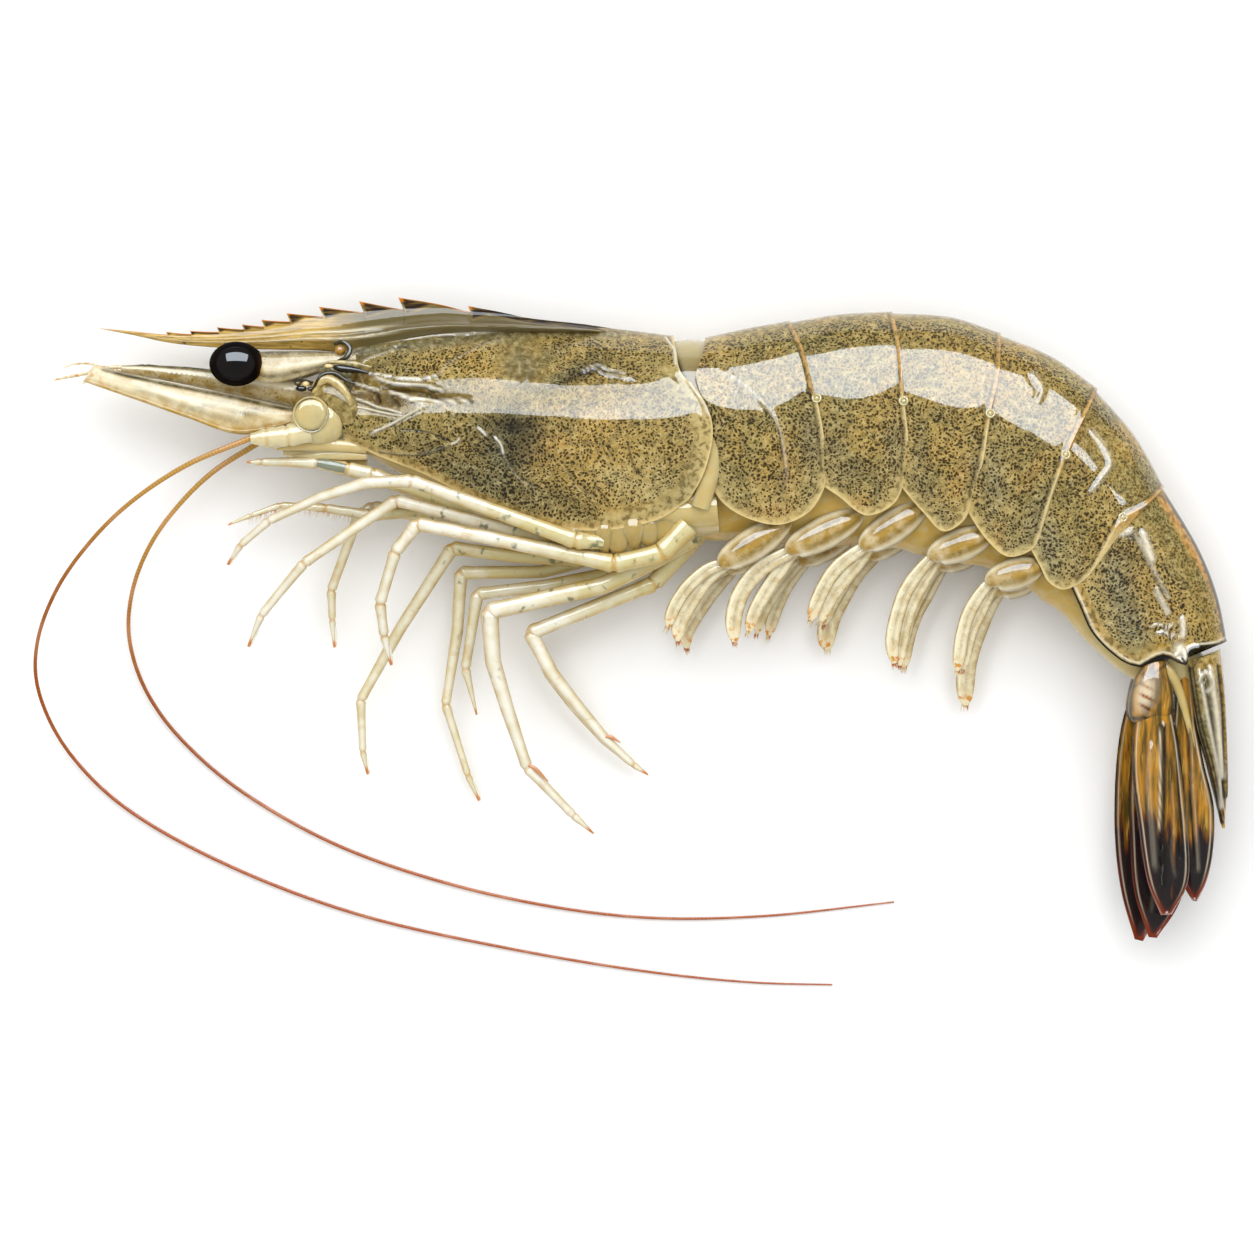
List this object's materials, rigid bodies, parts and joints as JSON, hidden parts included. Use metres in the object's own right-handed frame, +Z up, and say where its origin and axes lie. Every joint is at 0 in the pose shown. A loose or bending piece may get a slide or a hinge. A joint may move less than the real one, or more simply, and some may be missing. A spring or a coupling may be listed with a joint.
{
  "type": "raw whiteleg shrimp",
  "caption": "Whole raw shrimp with head, legs, swimmerets and tail fan, lying on its side with the abdomen curved down.",
  "frame": {"origin": "on the table, in the flat that the rear of the carapace rests on", "axes": "+X from head to tail, +Y from belly to back, +Z up, from the right side of the body to the left"},
  "size_m": [0.1293, 0.0747, 0.0152],
  "materials": {
    "shell": "wet, translucent olive-brown shell with fine dark dots",
    "flesh": "wet, soft yellowish skin",
    "limb": "wet, clear whitish shell with amber joints",
    "leaf": "wet, thin translucent leaf with a pale fringe",
    "tail_blade": "wet amber blade that darkens to black, with a red edge",
    "eye": "glossy black",
    "feeler": "smooth reddish-brown whip"
  },
  "bodies": {
    "root": {"carapace": "shell", "neck_skin": "flesh", "abdomen_ring_1": "shell", "abdomen_ring_2": "shell", "abdomen_ring_3": "shell", "abdomen_ring_4": "shell", "abdomen_ring_5": "shell", "abdomen_ring_6": "shell", "abdomen_underside": "flesh", "chest_underside": "flesh", "eye_near": "eye", "eye_stalk_near": "shell", "antennule_near": "shell", "antenna_base_near": "flesh", "antennal_scale_near": "leaf", "feeler_near": "feeler", "eye_far": "eye", "eye_stalk_far": "shell", "antennule_far": "shell", "antenna_base_far": "flesh", "antennal_scale_far": "leaf", "feeler_far": "feeler", "mouthparts": "flesh", "maxilliped_near": "limb", "leg_near_1": "limb", "leg_near_2": "limb", "leg_near_3": "limb", "leg_near_4": "limb", "leg_near_5": "limb", "maxilliped_far": "limb", "leg_far_1": "limb", "leg_far_2": "limb", "leg_far_3": "limb", "leg_far_4": "limb", "leg_far_5": "limb", "swimmeret_near_1": "leaf", "swimmeret_near_2": "leaf", "swimmeret_near_3": "leaf", "swimmeret_near_4": "leaf", "swimmeret_near_5": "leaf", "swimmeret_far_1": "leaf", "swimmeret_far_2": "leaf", "swimmeret_far_3": "leaf", "swimmeret_far_4": "leaf", "swimmeret_far_5": "leaf", "telson": "shell", "tail_joint_near": "shell", "tail_joint_far": "shell", "tail_outer_blade_near": "tail_blade", "tail_inner_blade_near": "tail_blade", "tail_inner_blade_far": "tail_blade", "tail_outer_blade_far": "tail_blade"}
  },
  "joints": []
}
